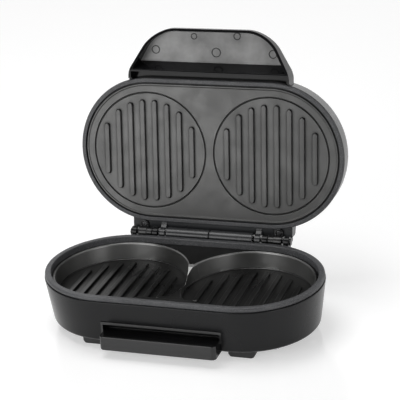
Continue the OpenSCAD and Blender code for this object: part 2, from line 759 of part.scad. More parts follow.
module upper_plate_screws() color("silver") place_lid()
  at_plate_screws() translate([0, 0, rim_tab_top]) mirror([0, 0, 1]) screw(4);

module upper_heater() color("#6b6b6b") place_lid() heater(upper_heater_z);

module upper_reflector() color("#b8b8b4") place_lid()
  translate([0, 0, upper_tray_z + tray_t]) mirror([0, 0, 1]) tray(upper_tray_z + tray_t - lid_back - 1.5);

module upper_reflector_screws() color("silver") place_lid()
  for (y = [-1, 1]) translate([0, y * tray_screw_y, upper_tray_z + tray_t]) mirror([0, 0, 1]) screw(8);

module upper_thermal_fuse() color("#d8d8dc") place_lid() translate([0, 0, lid_back + 2.4]) thermal_fuse();

// Outline of the lid handle, drawn in by an inset and closed at the line y = root
module grip_outline(inset, root) {
  r = grip_corner - inset;
  corner_y = -grip_front + grip_corner;
  tangent = [grip_corner_x + r * sin(grip_slope), corner_y - r * cos(grip_slope)];
  end_y = tangent[1] + (grip_w / 2 - inset - tangent[0]) * tan(grip_slope);
  for (side = [0, 1]) mirror([side, 0]) {
    translate([grip_corner_x, corner_y]) circle(r);
    polygon([[0, -grip_front + inset], [grip_corner_x, -grip_front + inset], [grip_corner_x, corner_y], tangent,
      [grip_w / 2 - inset, end_y], [grip_w / 2 - inset, root], [0, root]]);
  }
}

// Hollow handle, open below, with a thick root against the lid shell
module lid_handle() color("#151516") place_lid() {
  pocket_y = -lid_r - grip_root;
  difference() {
    union() {
      translate([0, 0, grip_z]) linear_extrude(grip_h - 1.5) grip_outline(0, -lid_top_r + 4);
      translate([0, 0, grip_z]) linear_extrude(grip_h) grip_outline(1.5, -lid_top_r + 4);
    }
    intersection() {
      translate([0, 0, grip_z - cut]) linear_extrude(grip_ceiling - grip_z + cut) grip_outline(grip_wall, -lid_top_r);
      translate([-grip_w / 2, -grip_front, grip_z - cut]) cube([grip_w, grip_front + pocket_y, grip_h]);
    }
    racetrack() polygon([[0, grip_z - cut], [rim_r + 1, grip_z - cut], [rim_r + 1, lid_z], [lid_r + 0.15, lid_z],
      [lid_r + 0.15, lid_shell_z], [lid_top_r + 0.15, lid_top - lid_edge], [lid_top_r + 0.15, lid_top], [0, lid_top]]);
    for (side = [-1, 1]) translate([side * grip_screw_x, -lid_r + 5, grip_screw_z]) rotate([90, 0, 0])
      cylinder(h = 12, r = screw_r + pin_fit);
  }
}

module handle_screws() color("silver") place_lid()
  for (side = [-1, 1]) translate([side * grip_screw_x, -lid_r_at(grip_screw_z) + wall + 0.2, grip_screw_z])
    rotate([90, 0, 0]) screw(8);

// Arm that turns on the hinge pin, with the screw boss under the lid's pad
module hinge_arm(side) color("#1c1c1d") place_lid() mirror([side, 0, 0]) difference() {
  union() {
    across(arm_x, arm_w) {
      translate([hinge_y, hinge_z]) circle(knuckle_r);
      polygon([[arm_screw_y - 2, lid_z], [arm_screw_y - 2, pad_z], [pad_y, pad_z], [hinge_y, hinge_z + knuckle_r - 0.1],
        [hinge_y, hinge_z], [hinge_y - knuckle_r + 0.5, hinge_z - 1.8]]);
    }
    at_arm_screw() translate([0, 0, lid_z - pad_z]) cylinder(h = pad_z - lid_z, r = arm_boss_r);
  }
  at_arm_screw() translate([0, 0, lid_z - pad_z - cut]) {
    cylinder(h = screw_head_h + cut, r = screw_head_r + 0.2);
    cylinder(h = pad_z - lid_z + 2 * cut, r = screw_r + fit);
  }
  hinge_bore(arm_x, arm_w, pin_r + pin_fit);
}

module hinge_arm_left() hinge_arm(1);
module hinge_arm_right() hinge_arm(0);

module arm_screws() color("silver") place_lid()
  for (side = [0, 1]) mirror([side, 0, 0]) at_arm_screw() translate([0, 0, lid_z - pad_z + screw_head_h]) screw(8);

// Lamp lens with the collar that holds it under the lid shell
module lens() at_lamp_height() {
  translate([0, 0, -wall]) cylinder(h = wall + 0.8, r = lens_r);
  translate([0, 0, -wall - 1]) cylinder(h = 1, r = lens_r + 1);
}

module power_lamp_lens() color("#b3231c") place_lid() translate([-lamp_x, 0, 0]) lens();
module ready_lamp_lens() color("#2c8a3a") place_lid() translate([lamp_x, 0, 0]) lens();

// Holder for the two lamps, fixed under the top of the lid shell
module lamp_holder() color("#ece9e2") place_lid() at_lamp_height() {
  translate([-18, -6, -wall - 9]) cube([36, 12, 8]);
  for (side = [-1, 1]) translate([side * 16 - 1.5, -3, -wall - 2]) cube([3, 6, 2]);
}

base_shell();
base_rim();
base_handle();
bottom_cover();
lower_plate();
lower_heater();
lower_reflector();
lower_reflector_screws();
lower_plate_screws();
cover_screws();
foot_front_left();
foot_front_right();
foot_rear_left();
foot_rear_right();
foot_screws();
thermostat();
lower_thermal_fuse();
terminal_block();
cord_gland();
hinge_barrel_left();
hinge_barrel_right();
barrel_screws();
hinge_pin_left();
hinge_pin_right();
lid_shell();
lid_rim();
lid_handle();
handle_screws();
upper_plate();
upper_heater();
upper_reflector();
upper_reflector_screws();
upper_plate_screws();
lid_rim_screws();
upper_thermal_fuse();
hinge_arm_left();
hinge_arm_right();
arm_screws();
power_lamp_lens();
ready_lamp_lens();
lamp_holder();
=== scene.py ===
import json
import math

import bmesh
import bpy
from mathutils import Matrix, Vector


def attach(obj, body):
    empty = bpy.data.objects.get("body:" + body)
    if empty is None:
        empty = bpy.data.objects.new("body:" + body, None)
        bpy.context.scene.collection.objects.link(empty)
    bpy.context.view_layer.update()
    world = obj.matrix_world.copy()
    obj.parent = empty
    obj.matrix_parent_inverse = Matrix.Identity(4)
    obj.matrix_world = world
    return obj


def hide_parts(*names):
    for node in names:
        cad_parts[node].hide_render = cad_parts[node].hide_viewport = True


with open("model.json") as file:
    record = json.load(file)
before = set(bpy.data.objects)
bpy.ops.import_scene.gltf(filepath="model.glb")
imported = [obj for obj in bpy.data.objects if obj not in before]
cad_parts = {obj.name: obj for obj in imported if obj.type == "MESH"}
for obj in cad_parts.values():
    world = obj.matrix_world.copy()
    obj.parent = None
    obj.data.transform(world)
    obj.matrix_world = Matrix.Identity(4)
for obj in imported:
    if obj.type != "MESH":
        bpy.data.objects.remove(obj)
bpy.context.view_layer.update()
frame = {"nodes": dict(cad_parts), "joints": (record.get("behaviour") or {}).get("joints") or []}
nodes = frame["nodes"]
print("frame loaded with", len(nodes), "pieces")

# Pieces are drawn in millimetres with the lid shut, and are then set in place on the loaded hinge
hinge = Vector(frame["joints"][0]["pos_m"]) * 1000
axle = Vector((0, 82, 53.5))  # where the drawing has the hinge's axis
half = 61  # the two circles' centres stand at x = -61 and x = 61
openAngle = math.radians(98)
basePlace = Matrix.Scale(0.001, 4) @ Matrix.Translation(hinge - axle)
lidPlace = (Matrix.Scale(0.001, 4) @ Matrix.Translation(hinge) @ Matrix.Rotation(-openAngle, 4, "X")
            @ Matrix.Translation(-axle))

# angles in degrees, the rest in metres and lens millimetres
view = {"azimuth": 19.486, "elevation": 21.831, "roll": -3.839, "distance": 1.487, "lens": 142.52,
        "sensor": 36, "target": (0.0040, 0.0234, 0.1055), "near": 0.05, "far": 20}


def placeCamera():
    azimuth, elevation, roll = (math.radians(view[k]) for k in ("azimuth", "elevation", "roll"))
    back = Vector((math.sin(azimuth) * math.cos(elevation), -math.cos(azimuth) * math.cos(elevation),
                   math.sin(elevation)))
    right = Vector((math.cos(azimuth), math.sin(azimuth), 0))
    up = back.cross(right)
    rolledRight = right * math.cos(roll) + up * math.sin(roll)
    rolledUp = up * math.cos(roll) - right * math.sin(roll)
    data = bpy.data.cameras.new("camera")
    data.lens, data.sensor_width = view["lens"], view["sensor"]
    data.clip_start, data.clip_end = view["near"], view["far"]
    camera = bpy.data.objects.new("camera", data)
    bpy.context.scene.collection.objects.link(camera)
    turn = Matrix((rolledRight, rolledUp, back)).transposed().to_4x4()
    camera.matrix_world = Matrix.Translation(Vector(view["target"]) + back * view["distance"]) @ turn
    bpy.context.scene.camera = camera


placeCamera()
print("camera placed")

# tools shared by the pieces
weldDistance = 0.001
sharpAngle = math.radians(32)  # soften rounds the edges that are sharper than this
creaseAngle = math.radians(30)  # shading stays sharp from here on


def outlineFace(bm, corners, place, roundness=4):
    # corners hold two lengths and, where the corner is round, its radius
    known = set(bm.faces)
    verts = [bm.verts.new(place(c[0], c[1])) for c in corners]
    bm.faces.new(verts)
    for vert, c in zip(verts, corners):
        if len(c) > 2:
            bmesh.ops.bevel(bm, geom=[vert], offset=c[2], offset_type="OFFSET", segments=roundness,
                            profile=0.5, affect="VERTICES", material=-1)
    return next(f for f in bm.faces if f not in known)


def roundEdges(bm, edges, width, segments=2, clamp=True):
    bmesh.ops.bevel(bm, geom=edges, offset=width, offset_type="OFFSET", segments=segments, profile=0.5,
                    affect="EDGES", clamp_overlap=clamp, material=-1)


def soften(bm, width):
    roundEdges(bm, [e for e in bm.edges if e.is_manifold and e.calc_face_angle(0) > sharpAngle], width)


def withVerts(edges):
    return edges + list(dict.fromkeys(v for e in edges for v in e.verts))


def closed(bm):
    # loose edges go, seams are welded and all faces look outwards
    bmesh.ops.delete(bm, geom=[e for e in bm.edges if e.is_wire], context="EDGES")
    bmesh.ops.remove_doubles(bm, verts=bm.verts, dist=weldDistance)
    bmesh.ops.recalc_face_normals(bm, faces=bm.faces)
    return bm


def sweepRacetrack(corners, roundness=4):
    # a section of radius and height, taken round both circles and along the straight sides
    bm = bmesh.new()
    face = outlineFace(bm, corners, lambda r, z: (half, -r, z), roundness)
    edges = [e for e in face.edges if any(abs(v.co.y) > weldDistance for v in e.verts)]
    bmesh.ops.delete(bm, geom=[face], context="FACES_ONLY")
    for side in (1, -1):
        spun = bmesh.ops.spin(bm, geom=withVerts(edges), cent=(side * half, 0, 0), axis=(0, 0, 1),
                              angle=math.pi, steps=44, use_duplicate=False)
        last = [g for g in spun["geom_last"] if isinstance(g, bmesh.types.BMEdge)]
        grown = bmesh.ops.extrude_edge_only(bm, edges=last)["geom"]
        moved = {g for g in grown if isinstance(g, bmesh.types.BMVert)}
        bmesh.ops.translate(bm, verts=list(moved), vec=(-2 * half * side, 0, 0))
        edges = [g for g in grown if isinstance(g, bmesh.types.BMEdge) and all(v in moved for v in g.verts)]
    return closed(bm)


def slab(bm, face, vec):
    # pushes a face out into a solid and returns the faces of its far end
    grown = bmesh.ops.extrude_face_region(bm, geom=[face], use_keep_orig=True)["geom"]
    bmesh.ops.translate(bm, verts=[g for g in grown if isinstance(g, bmesh.types.BMVert)], vec=vec)
    return [g for g in grown if isinstance(g, bmesh.types.BMFace)]


def pushed(corners, place, vec, bevel, roundness):
    bm = bmesh.new()
    slab(bm, outlineFace(bm, corners, place, roundness), vec)
    bmesh.ops.recalc_face_normals(bm, faces=bm.faces)
    if bevel:
        soften(bm, bevel)
    return bm


def across(corners, x, width, bevel=0.4, roundness=4):
    # an outline of depth and height, drawn along the body from x to x + width
    return pushed(corners, lambda y, z: (x, y, z), (width, 0, 0), bevel, roundness)


def upright(corners, z, height, bevel=0.4, roundness=4):
    # an outline seen from above, drawn upwards from z
    return pushed(corners, lambda x, y: (x, y, z), (0, 0, height), bevel, roundness)


def turned(corners, centre, axis, start, steps, roundness):
    # a section of radius and reach, turned round an axis; start is the direction in which the radius points
    bm = bmesh.new()
    axis, start, centre = Vector(axis), Vector(start), Vector(centre)
    face = outlineFace(bm, corners, lambda r, h: centre + start * r + axis * h, roundness)
    edges = list(face.edges)
    bmesh.ops.delete(bm, geom=[face], context="FACES_ONLY")
    bmesh.ops.spin(bm, geom=withVerts(edges), cent=centre, axis=axis, angle=2 * math.pi, steps=steps,
                   use_merge=True, use_duplicate=False)
    return closed(bm)


def peg(corners, x=0, y=0, steps=32, roundness=3):
    # a section of radius and height, turned round an upright axis
    return turned(corners, (x, y, 0), (0, 0, 1), (1, 0, 0), steps, roundness)


def rod(corners, steps=32):
    # a section of radius and x, turned round the hinge's axis
    return turned(corners, axle, (1, 0, 0), (0, 0, 1), steps, 3)


def posts(spots, radius, free, root):
    # screw posts from their free end to the wall that they stand on
    return [peg([(0, free), (radius, free, 0.3), (radius, root), (0, root)], x, y, 24) for x, y in spots]


def box(low, high, bevel=0):
    bm = bmesh.new()
    bmesh.ops.create_cube(bm, size=1)
    bmesh.ops.scale(bm, vec=[b - a for a, b in zip(low, high)], verts=bm.verts)
    bmesh.ops.translate(bm, vec=[(a + b) / 2 for a, b in zip(low, high)], verts=bm.verts)
    if bevel:
        soften(bm, bevel)
    return bm


def flipped(bm):
    bmesh.ops.scale(bm, vec=(-1, 1, 1), verts=bm.verts)
    bmesh.ops.reverse_faces(bm, faces=bm.faces)
    return bm


def together(*parts):
    whole = bmesh.new()
    for part in parts:
        mesh = bpy.data.meshes.new("part")
        part.to_mesh(mesh)
        part.free()
        whole.from_mesh(mesh)
        bpy.data.meshes.remove(mesh)
    return whole


def mirrored(bm):
    # the same part with its twin on the other side
    twin = flipped(bm.copy())
    return together(bm, twin)


def bothCircles(bm):
    # a part drawn round x = 0, set on both circles
    twin = bm.copy()
    bmesh.ops.translate(bm, vec=(half, 0, 0), verts=bm.verts)
    bmesh.ops.translate(twin, vec=(-half, 0, 0), verts=twin.verts)
    return bm, twin


def asObject(bm, name="blank"):
    mesh = bpy.data.meshes.new(name)
    bm.to_mesh(mesh)
    bm.free()
    thing = bpy.data.objects.new(name, mesh)
    bpy.context.scene.collection.objects.link(thing)
    return thing


def worked(bm, *jobs):
    # jobs are pairs of a boolean operation and the part that it uses
    thing = asObject(bm)
    for operation, part in jobs:
        tool = asObject(part)
        job = thing.modifiers.new("job", "BOOLEAN")
        job.operation, job.object, job.solver = operation, tool, "EXACT"
        made = bpy.data.meshes.new_from_object(thing.evaluated_get(bpy.context.evaluated_depsgraph_get()))
        thing.modifiers.clear()
        old, thing.data = thing.data, made
        bpy.data.meshes.remove(old)
        bpy.data.objects.remove(tool)
    out = bmesh.new()
    out.from_mesh(thing.data)
    bpy.data.objects.remove(thing)
    bmesh.ops.remove_doubles(out, verts=out.verts, dist=2 * weldDistance)
    return out


def cutBy(bm, *parts):
    return worked(bm, *(("DIFFERENCE", part) for part in parts))


def finishPiece(name, bm, body, finishes, stands, paint=None):
    # sets a part in place as one piece of the object; paint picks a finish for each face
    bm.transform(lidPlace if body == "lid" else basePlace)
    if paint:
        for face in bm.faces:
            face.material_index = 1 if paint(face) else 0
    piece = asObject(bm, name)
    for finish in finishes:
        piece.data.materials.append(finish)
    piece.data.shade_smooth()
    piece.data.set_sharp_from_angle(angle=creaseAngle)
    piece.modifiers.new("evenShade", "WEIGHTED_NORMAL").keep_sharp = True
    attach(piece, body)
    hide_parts(stands)


def trackReach(face, place):
    # how far a face lies from the line between the two circles' centres
    spot = place.inverted() @ face.calc_center_median()
    return math.hypot(max(abs(spot.x) - half, 0), spot.y)


# finishes
# settings of the painted highlight on edges (radius and ramp) and of the painted shade in corners (samples
# and ramp)
lookDetail = {"coatRough": 0.08, "samples": 6, "paintedShadeSamples": 8, "paintedHighlightRadius": 0.0008,
              "paintedHighlightFrom": 0.99, "paintedHighlightFull": 0.85, "paintedShadeFull": 0.45, "paintedShadeFrom": 0.95}


def addNode(tree, kind, values=None, links=None):
    # values are set on the node's sockets, links join them to other nodes' outputs
    node = tree.nodes.new(kind)
    for socket, value in (values or {}).items():
        node.inputs[socket].default_value = value
    for socket, source in (links or {}).items():
        tree.links.new(source, node.inputs[socket])
    return node


def newMaterial(name):
    material = bpy.data.materials.new(name)
    material.use_nodes = True
    return material, material.node_tree, material.node_tree.nodes["Principled BSDF"]


def finishOf(name, base, rough, metal=0.0, specks=None, grain=None, cloud=(18.0, 0.25), paintedHighlight=None, coat=0.0,
             edge=0.0, scratch=(60.0, 4.0, 0.6), specular=0.5, paintedShade=None):
    # specks: colour, cells in a metre, share; grain: scale and bump in metres; cloud: scale and strength of
    # the colour's drift; wear: colour and strength of the painted highlight on the edges; edge: radius that
    # the light sees on sharp edges; scratch: scale, detail and roughness of the gloss's drift; grime: reach
    # in metres and strength of the painted shade in corners
    material, tree, shader = newMaterial(name)
    for socket, value in (("Metallic", metal), ("Coat Weight", coat), ("Specular IOR Level", specular),
                          ("Coat Roughness", lookDetail["coatRough"])):
        shader.inputs[socket].default_value = value
    place = addNode(tree, "ShaderNodeTexCoord").outputs["Object"]

    def noise(scale, detail=3.0, roughness=0.5):
        return addNode(tree, "ShaderNodeTexNoise", {"Scale": scale, "Detail": detail, "Roughness": roughness},
                       {"Vector": place}).outputs["Fac"]

    def ramp(source, low, high, toLow=0.0, toHigh=1.0):
        return addNode(tree, "ShaderNodeMapRange", {"From Min": low, "From Max": high, "To Min": toLow,
                                                    "To Max": toHigh}, {"Value": source}).outputs["Result"]

    def blend(share, one, two):
        node = tree.nodes.new("ShaderNodeMix")
        node.data_type = "RGBA"
        tree.links.new(share, node.inputs["Factor"])
        for socket, value in ((node.inputs["A"], one), (node.inputs["B"], two)):
            if isinstance(value, tuple):
                socket.default_value = (*value, 1)
            else:
                tree.links.new(value, socket)
        return node.outputs["Result"]

    def softNormal(radius):
        node = addNode(tree, "ShaderNodeBevel", {"Radius": radius})
        node.samples = lookDetail["samples"]
        return node.outputs["Normal"]

    def shade(factor):
        return tuple(c * factor for c in base)

    drift, depth = cloud
    colour = blend(ramp(noise(drift), 0.3, 0.7), shade(1 - depth), shade(1 + depth))
    if specks:
        speckColour, cells, share = specks
        colour = blend(ramp(noise(cells, 2.0, 0.6), 1 - share, 1.06 - share), colour, speckColour)
    if paintedHighlight:
        # painted highlight: the edges, where the softened normal leaves the face's own, are painted lighter
        paintedHighlightColour, strength = paintedHighlight
        lean = tree.nodes.new("ShaderNodeVectorMath")
        lean.operation = "DOT_PRODUCT"
        tree.links.new(softNormal(lookDetail["paintedHighlightRadius"]), lean.inputs[0])
        tree.links.new(addNode(tree, "ShaderNodeNewGeometry").outputs["True Normal"], lean.inputs[1])
        highlightShare = ramp(lean.outputs["Value"], lookDetail["paintedHighlightFrom"], lookDetail["paintedHighlightFull"], 0.0, strength)
        colour = blend(highlightShare, colour, paintedHighlightColour)
    if paintedShade:
        # painted shade: the colour darkens where ambient occlusion finds corners and creases
        reach, strength = paintedShade
        hollow = addNode(tree, "ShaderNodeAmbientOcclusion", {"Distance": reach})
        hollow.samples = lookDetail["paintedShadeSamples"]
        unshadedShare = ramp(hollow.outputs["AO"], lookDetail["paintedShadeFull"], lookDetail["paintedShadeFrom"])
        colour = blend(unshadedShare, shade(1 - strength), colour)
    tree.links.new(colour, shader.inputs["Base Color"])
    gloss = ramp(noise(*scratch), 0.3, 0.7, max(rough * 0.8, 0.02), min(rough * 1.25, 1))
    tree.links.new(gloss, shader.inputs["Roughness"])
    shape = softNormal(edge) if edge else None
    if grain:
        scale, height = grain
        bump = addNode(tree, "ShaderNodeBump", {"Strength": 1.0, "Distance": height},
                       {"Height": noise(scale, 2.0, 0.55)})
        if shape:
            tree.links.new(shape, bump.inputs["Normal"])
        shape = bump.outputs["Normal"]
    if shape:
        tree.links.new(shape, shader.inputs["Normal"])
    return material


shellGloss = finishOf("shellGloss", (0.006, 0.0062, 0.0068), 0.24, grain=(220, 0.00001), edge=0.0003,
                      cloud=(12, 0.1), scratch=(14.0, 2.0, 0.5), specular=0.25)
lidGloss = finishOf("lidGloss", (0.026, 0.027, 0.029), 0.3, grain=(220, 0.00001), edge=0.0003,
                    cloud=(12, 0.08), scratch=(14.0, 2.0, 0.5))
rimSpeckled = finishOf("rimSpeckled", (0.050, 0.051, 0.054), 0.5, specks=((0.22, 0.22, 0.23), 2600, 0.42),
                       grain=(1800, 0.00006), edge=0.0003)
handleGloss = finishOf("handleGloss", (0.005, 0.005, 0.0055), 0.16, grain=(200, 0.00001), edge=0.0003,
                       specular=0.16)
barGloss = finishOf("barGloss", (0.006, 0.006, 0.0065), 0.18, grain=(200, 0.00001), edge=0.0004)
handleFloor = finishOf("handleFloor", (0.2, 0.2, 0.198), 0.36, cloud=(45, 0.4), grain=(900, 0.00004))
# the lower plate's one coating in two copies: a darker one with painted shade for the floors, land, island
# and ridges, and a lighter one with painted reflection for the wells' walls; both have the painted edge
# highlight, the darker one also painted shade in corners
plateRestPaintedShade = finishOf("plateRestPaintedShade", (0.08, 0.08, 0.079), 0.3, metal=1.0, cloud=(30, 0.1),
                      grain=(2200, 0.00001), edge=0.0004, paintedHighlight=((0.5, 0.5, 0.49), 0.6), paintedShade=(0.004, 0.8),
                      scratch=(20.0, 2.0, 0.5))
plateWallPaintedLight = finishOf("plateWallPaintedLight", (0.26, 0.26, 0.256), 0.38, metal=1.0, cloud=(30, 0.1),
                      grain=(2200, 0.00001), edge=0.0004, paintedHighlight=((0.4, 0.4, 0.39), 0.5),
                      scratch=(20.0, 2.0, 0.5))
# painted highlight on the ridges' and grooves' edges and painted shade in their corners
plateUpper = finishOf("plateUpper", (0.085, 0.085, 0.084), 0.36, metal=1.0, cloud=(14, 0.12),
                      grain=(2200, 0.00003), edge=0.0004, paintedHighlight=((0.3, 0.3, 0.3), 0.4), paintedShade=(0.003, 0.85))
coverMatte = finishOf("coverMatte", (0.022, 0.022, 0.023), 0.62, grain=(1500, 0.00008), edge=0.0003)
footRubber = finishOf("footRubber", (0.02, 0.02, 0.0205), 0.55, grain=(1200, 0.00006), edge=0.0004)
barrelGloss = finishOf("barrelGloss", (0.030, 0.031, 0.033), 0.24, grain=(400, 0.00002), edge=0.0003)
armBlack = finishOf("armBlack", (0.008, 0.008, 0.0085), 0.28, grain=(700, 0.00003), edge=0.0003)
blackSteel = finishOf("blackSteel", (0.07, 0.07, 0.072), 0.36, metal=1.0, cloud=(200, 0.1),
                      grain=(3000, 0.00001), edge=0.0002)
steel = finishOf("steel", (0.58, 0.58, 0.6), 0.28, metal=1.0, cloud=(200, 0.1), grain=(3000, 0.00001),
                 edge=0.0002)
heaterSheath = finishOf("heaterSheath", (0.26, 0.235, 0.21), 0.45, metal=0.9, cloud=(60, 0.35),
                        grain=(1400, 0.00003))
reflectorSheet = finishOf("reflectorSheet", (0.78, 0.78, 0.77), 0.24, metal=1.0, cloud=(25, 0.08),
                          grain=(500, 0.00002), edge=0.0002)
ceramic = finishOf("ceramic", (0.78, 0.75, 0.68), 0.55, cloud=(70, 0.08), grain=(900, 0.00006), edge=0.0003)
holderWhite = finishOf("holderWhite", (0.76, 0.75, 0.72), 0.4, cloud=(50, 0.05), grain=(700, 0.00003),
                       edge=0.0003)
fuseCase = finishOf("fuseCase", (0.8, 0.8, 0.8), 0.25, metal=1.0, cloud=(200, 0.1), grain=(2000, 0.00001))
lensRed = finishOf("lensRed", (0.42, 0.02, 0.014), 0.1, coat=0.5, cloud=(300, 0.15), grain=(900, 0.00001))
lensGreen = finishOf("lensGreen", (0.02, 0.28, 0.06), 0.1, coat=0.5, cloud=(300, 0.15), grain=(900, 0.00001))
print("finishes mixed")

# base shell with its windows for the handle, hinge ears with the lid's stops, and shelf under the barrel
baseShell = {"radius": 72.6, "footRadius": 66.6, "bottom": 9, "top": 51, "wall": 2.5, "edge": 3, "lip": 0.8,
             "skirtRadius": 68.3, "flangeRadius": 58.5, "flangeRise": 4.5, "coverRadius": 62.3,
             "barWindow": ((-55.3, -90, 7.5), (55.3, -62.9, 22)),
             "recessWindow": ((-55, -80, 20), (55, -58, 28.3))}
ear = {"width": 5.5, "inner": (53.1, 68.6), "outer": (74.6, 66.5), "low": 35, "high": 49.5,
       "outline": ((78, 38, 3), (87.4, 50.5, 3), (87.4, 58.9, 5.3), (76.6, 58.9, 5.3), (76.6, 52.4, 0.8),
                   (73.5, 49.5, 0.8)),
       "stop": ((79.3, 57.7), (84, 57.7), (84, 65.2, 1.2), (79.3, 65.2, 0.4))}
shelf = {"half": 54, "outline": ((68.6, 37.9), (80, 39, 1), (86, 42, 1), (86, 44, 0.6), (68.6, 44))}


def makeBaseShell():
    s = baseShell
    shell = sweepRacetrack([
        (s["coverRadius"], s["bottom"]), (s["footRadius"] + 0.2, s["bottom"], s["edge"]),
        (s["radius"], s["top"], s["lip"]), (s["skirtRadius"], s["top"], 0.3),
        (s["skirtRadius"], s["top"] - s["wall"]), (s["radius"] - 2.9, s["top"] - s["wall"]),
        (s["footRadius"] - 2.1, s["bottom"] + s["flangeRise"]),
        (s["flangeRadius"], s["bottom"] + s["flangeRise"]), (s["flangeRadius"], s["bottom"] + s["wall"]),
        (s["coverRadius"], s["bottom"] + s["wall"])])
    shell = cutBy(shell, box(*s["barWindow"]), box(*s["recessWindow"]))
    blocks = []
    for x, root in (ear["inner"], ear["outer"]):
        outline = [(root, ear["low"]), *ear["outline"], (root, ear["high"])]
        blocks.append(across(outline, x, ear["width"], 0.5))
    stop = across(ear["stop"], ear["outer"][0], ear["width"])
    # the stop is drawn under the shut lid's pad and turned to where the pad is when the lid is open
    stop.transform(Matrix.Translation(axle) @ Matrix.Rotation(-openAngle, 4, "X") @ Matrix.Translation(-axle))
    ears = mirrored(together(*blocks, stop))
    return together(shell, ears, across(shelf["outline"], -shelf["half"], 2 * shelf["half"], 0.3))


finishPiece("baseShell", makeBaseShell(), "base", [shellGloss], "base_shell")
print("base shell made")

baseRim = {"inner": 65.9, "outer": 72.0, "bottom": 52, "top": 55.5, "skirt": 68.0, "skirtBottom": 47,
           "neck": 70.8, "neckBottom": 51}


def makeBaseRim():
    r = baseRim
    return sweepRacetrack([
        (r["inner"], r["skirtBottom"]), (r["skirt"], r["skirtBottom"]), (r["skirt"], r["neckBottom"]),
        (r["neck"], r["neckBottom"]), (r["neck"], r["bottom"]), (r["outer"], r["bottom"], 0.5),
        (r["outer"] - 0.15, r["top"], 1.5), (r["inner"] + 0.3, r["top"], 1.0)])


finishPiece("baseRim", makeBaseRim(), "base", [rimSpeckled], "base_rim")

lidRim = {"inner": 66.9, "outer": 70.8, "bottom": 55.9, "top": 57.5, "skirt": 68.0, "skirtTop": 64,
          "tabX": (8.5, 41.5), "tabY": (51, 67.4), "tabZ": (61.5, 63.5)}


def makeLidRim():
    r = lidRim
    ring = sweepRacetrack([
        (r["inner"], r["bottom"], 0.5), (r["outer"], r["bottom"], 0.8), (r["outer"], r["top"]),
        (r["skirt"], r["top"]), (r["skirt"], r["skirtTop"]), (r["inner"], r["skirtTop"])])
    tabs = []
    for sideX in (1, -1):
        for sideY in (1, -1):
            low, high = zip(sorted(sideX * x for x in r["tabX"]), sorted(sideY * y for y in r["tabY"]),
                            r["tabZ"])
            tabs.append(box(low, high, 0.3))
    return together(ring, *tabs)


# painted shade: the rim's inner faces at the gap round the plate take the dark matte finish
def isRimInsidePaintedShade(face):
    return trackReach(face, lidPlace) < lidRim["inner"] + 0.02


finishPiece("lidRim", makeLidRim(), "lid", [rimSpeckled, coverMatte], "lid_rim", isRimInsidePaintedShade)
print("rims made")

# lower plate: two wells that meet in the neck, rear island that slopes to a nose, stepped land, ridges
lowerPlate = {"top": 50, "floor": 34, "thick": 2.5, "radius": 65.5, "wellRadius": 62.5, "floorRadius": 60.4,
              "corner": 0.9, "bowlCorner": 4.5, "lip": 0.9, "noseY": 24.5, "landDrop": 10, "stepY": 34,
              "stepHeight": 3.5, "landY": 52, "blockBottom": 36, "blockTop": 48.5, "thinPost": (23.1, 37)}
ridge = {"count": 8, "pitch": 12.4, "width": 5.6, "height": 2.5, "reach": 50.3, "lean": 0.6, "round": 0.45,
         "sunk": 0.1}
platePost = {"radius": 4, "spots": [(x, y) for x in (-14, 14) for y in (-56, 56)],
             "thinRadius": 3.5, "thinSpots": [(0, -20), (0, 20)]}


def makeRidges(z, up):
    # ridges of one circle, with sloping sides and round ends, standing on z and pointing up or down
    r = ridge
    w = r["width"] / 2
    parts = []
    for i in range(r["count"]):
        x = (i - (r["count"] - 1) / 2) * r["pitch"]
        reach = math.sqrt(r["reach"] ** 2 - x * x)
        bm = bmesh.new()
        corners = [(x - w, -reach), (x + w, -reach), (x + w, reach), (x - w, reach)]
        root = z - up * r["sunk"]
        face = outlineFace(bm, [(a, b, w * 0.98) for a, b in corners], lambda a, b: (a, b, root), 6)
        crest = slab(bm, face, (0, 0, up * (r["height"] + r["sunk"])))[0]
        bmesh.ops.scale(bm, vec=((w - r["lean"]) / w, (reach - r["lean"]) / reach, 1),
                        verts=list(crest.verts), space=Matrix.Translation((-x, 0, 0)))
        bmesh.ops.recalc_face_normals(bm, faces=bm.faces)
        roundEdges(bm, list(crest.edges), r["round"], 3)
        parts.append(bm)
    return together(*parts)


